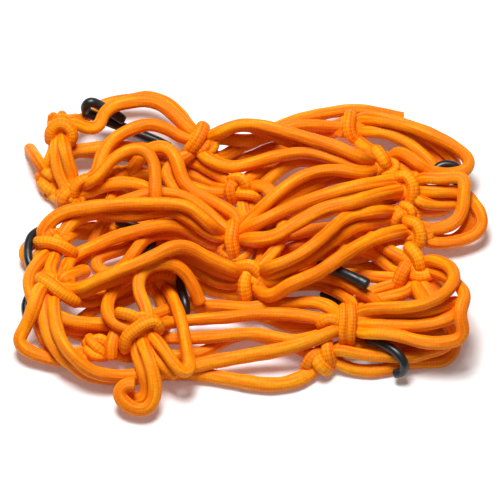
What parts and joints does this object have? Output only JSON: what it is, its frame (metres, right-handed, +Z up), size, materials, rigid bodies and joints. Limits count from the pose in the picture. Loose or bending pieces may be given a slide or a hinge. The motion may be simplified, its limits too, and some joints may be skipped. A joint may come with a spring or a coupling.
{
  "type": "cargo net",
  "caption": "Knotted elastic cord cargo net with black coated hooks, bunched and folded into a low heap.",
  "frame": {"origin": "on the table, under the middle of the heap's bounding box", "axes": "+Z up, +X along the heap's long side to the viewer's right, -Y towards the viewer"},
  "size_m": [0.2363, 0.1923, 0.0389],
  "materials": {
    "cord": "braided, slight sheen",
    "hook": "satin black coating"
  },
  "bodies": {
    "root": {"net": "cord", "hook_top_left": "hook", "hook_left_upper": "hook", "hook_left_lower": "hook", "hook_front": "hook", "hook_hollow": "hook", "hook_right_upper": "hook", "hook_right_middle": "hook", "hook_right_lower": "hook", "hook_gap_right": "hook", "hook_gap_front": "hook", "hook_gap_left": "hook"}
  },
  "joints": []
}
